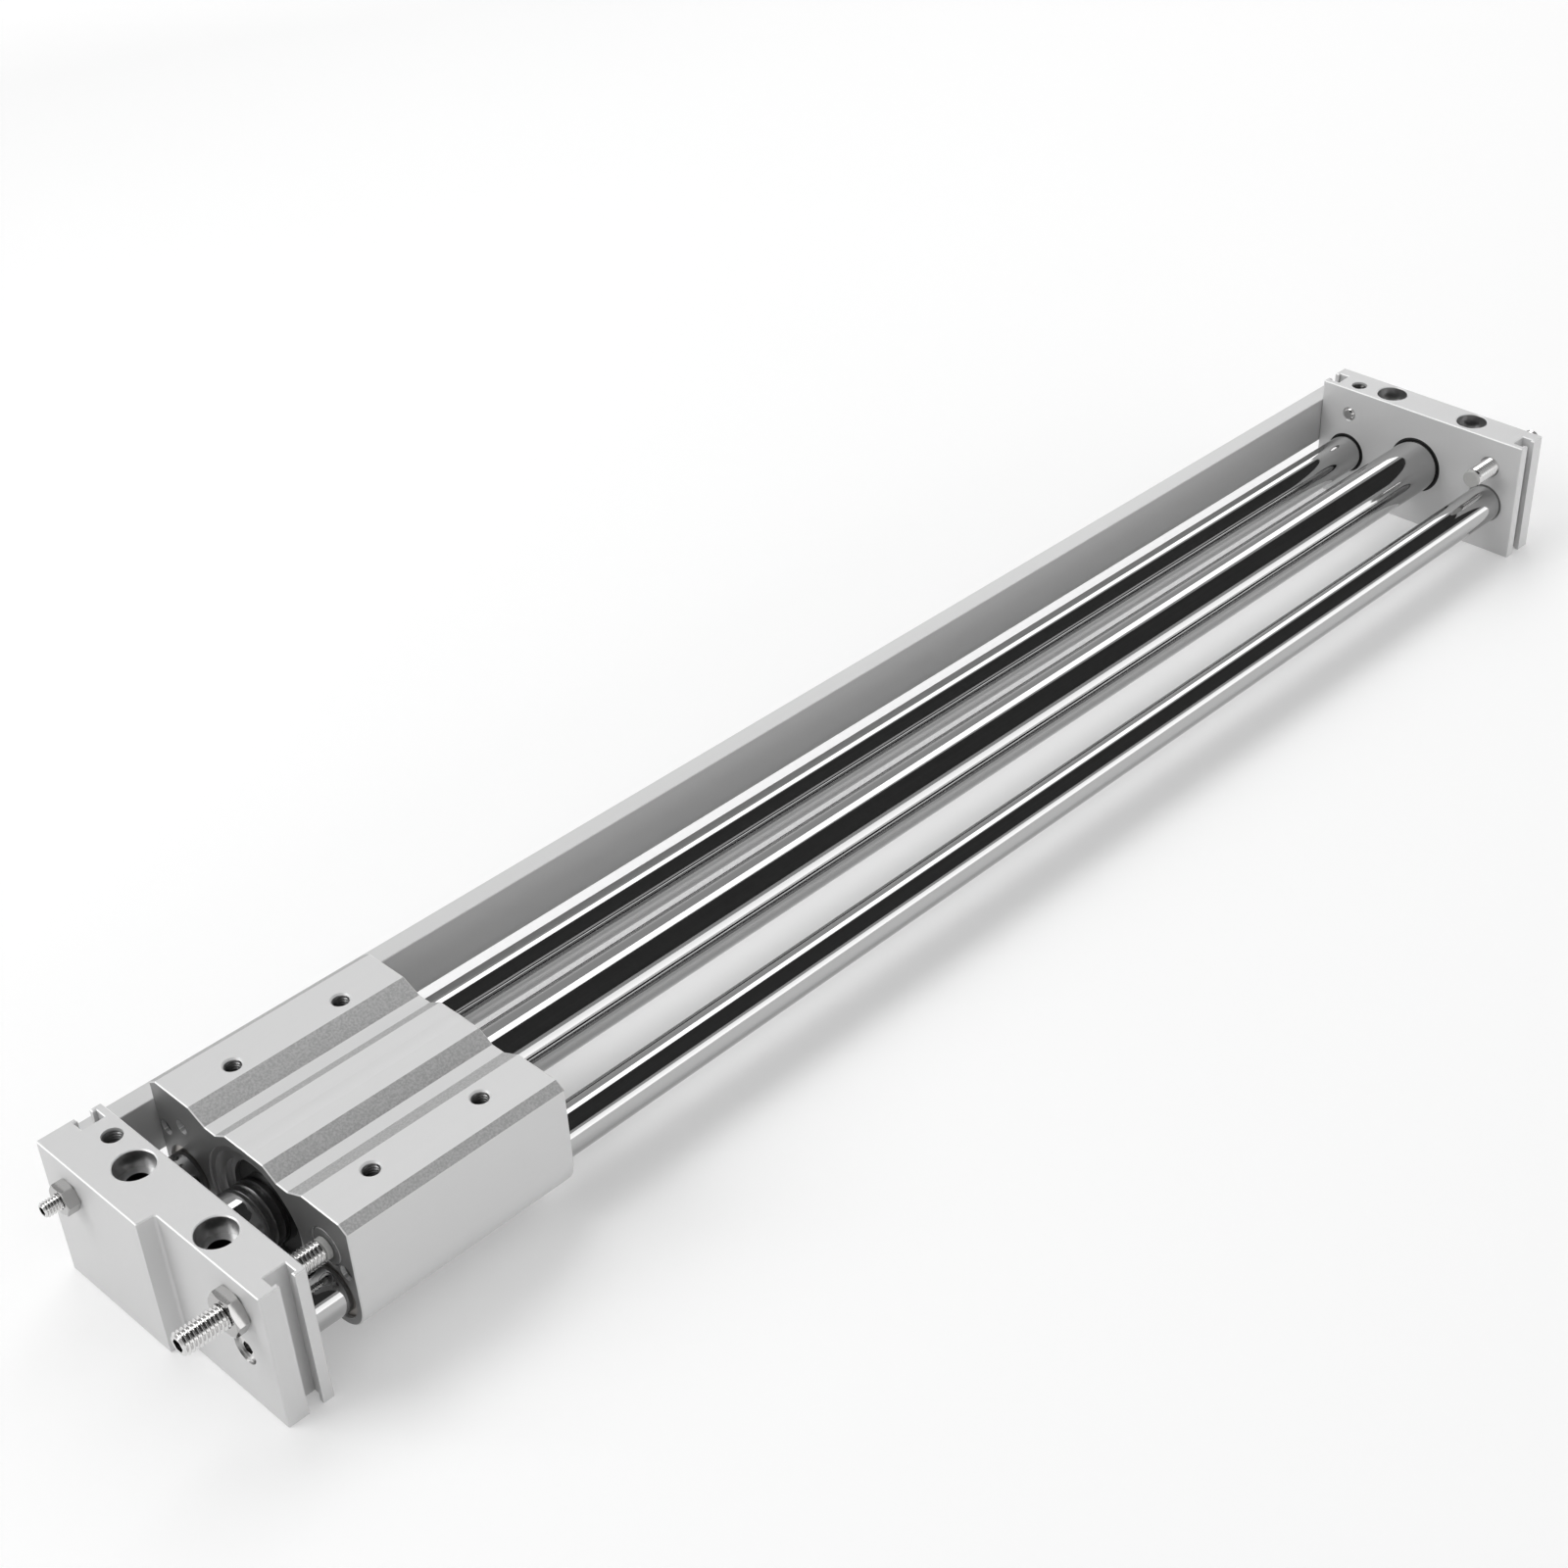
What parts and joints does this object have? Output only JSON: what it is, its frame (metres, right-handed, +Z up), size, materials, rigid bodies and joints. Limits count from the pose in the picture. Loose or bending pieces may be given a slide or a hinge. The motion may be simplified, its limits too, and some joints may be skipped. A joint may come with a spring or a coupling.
{
  "type": "rodless pneumatic cylinder",
  "caption": "Magnetically coupled rodless air cylinder: a slide block runs on two guide rods and a tube between end plates, with adjusting bolts and a switch rail.",
  "frame": {"origin": "on the underside, midway between the end plates and between their mounting holes", "axes": "+X along the stroke from the near plate to the far plate, +Y towards the switch rail, +Z up through the slide block's top"},
  "size_m": [0.5206, 0.0807, 0.0401],
  "materials": {
    "anodised_aluminium": "satin anodised",
    "rod_steel": "ground and polished",
    "tube_steel": "bright drawn stainless",
    "nickel_steel": "bright nickel plate",
    "inner_steel": "plain",
    "magnet_alloy": "sintered",
    "black_rubber": "moulded",
    "pale_urethane": "moulded",
    "wear_plastic": "turned",
    "bush_bronze": "sintered"
  },
  "bodies": {
    "frame": {"end_plate_near": "anodised_aluminium", "end_plate_far": "anodised_aluminium", "cylinder_tube": "tube_steel", "guide_rod_left": "rod_steel", "guide_rod_right": "rod_steel", "switch_rail": "anodised_aluminium", "rail_screws": "nickel_steel", "rail_nuts": "nickel_steel", "rod_screws": "nickel_steel", "rod_set_screws": "nickel_steel", "tube_gaskets": "black_rubber", "rod_gaskets": "black_rubber", "stop_bolt_nuts": "nickel_steel", "stop_screw_nuts": "nickel_steel"},
    "slider": {"slide_block": "anodised_aluminium", "outer_sleeve": "inner_steel", "outer_yokes": "inner_steel", "outer_magnets": "magnet_alloy", "wear_rings": "wear_plastic", "scrapers": "black_rubber", "sleeve_snap_rings": "inner_steel", "magnet_snap_rings": "inner_steel", "guide_bushes": "bush_bronze", "switch_magnets": "magnet_alloy"},
    "piston": {"piston_shaft": "inner_steel", "inner_yokes": "inner_steel", "inner_magnets": "magnet_alloy", "pistons": "anodised_aluminium", "piston_seals": "black_rubber", "piston_wear_rings": "wear_plastic", "piston_nuts": "nickel_steel", "piston_bumpers": "pale_urethane"},
    "near_bolt": {"stop_bolt_near": "nickel_steel", "stop_bumper_near": "pale_urethane"},
    "far_bolt": {"stop_bolt_far": "nickel_steel", "stop_bumper_far": "pale_urethane"},
    "near_screw": {"stop_screw_near": "nickel_steel"},
    "far_screw": {"stop_screw_far": "nickel_steel"}
  },
  "joints": [
    {"name": "slider_travel", "type": "slide", "parent": "frame", "child": "slider", "axis": [1, 0, 0], "range_m": [0, 0.386]},
    {"name": "piston_travel", "type": "slide", "parent": "frame", "child": "piston", "axis": [1, 0, 0], "range_m": [0, 0.386]},
    {"name": "near_bolt_adjust", "type": "slide", "parent": "frame", "child": "near_bolt", "axis": [-1, 0, 0], "range_m": [0, 0.006]},
    {"name": "far_bolt_adjust", "type": "slide", "parent": "frame", "child": "far_bolt", "axis": [1, 0, 0], "range_m": [0, 0.006]},
    {"name": "near_screw_adjust", "type": "slide", "parent": "frame", "child": "near_screw", "axis": [-1, 0, 0], "range_m": [0, 0.0015]},
    {"name": "far_screw_adjust", "type": "slide", "parent": "frame", "child": "far_screw", "axis": [1, 0, 0], "range_m": [0, 0.0015]}
  ],
  "couplings": [
    {"joint": "piston_travel", "follows": "slider_travel", "ratio": 1}
  ]
}
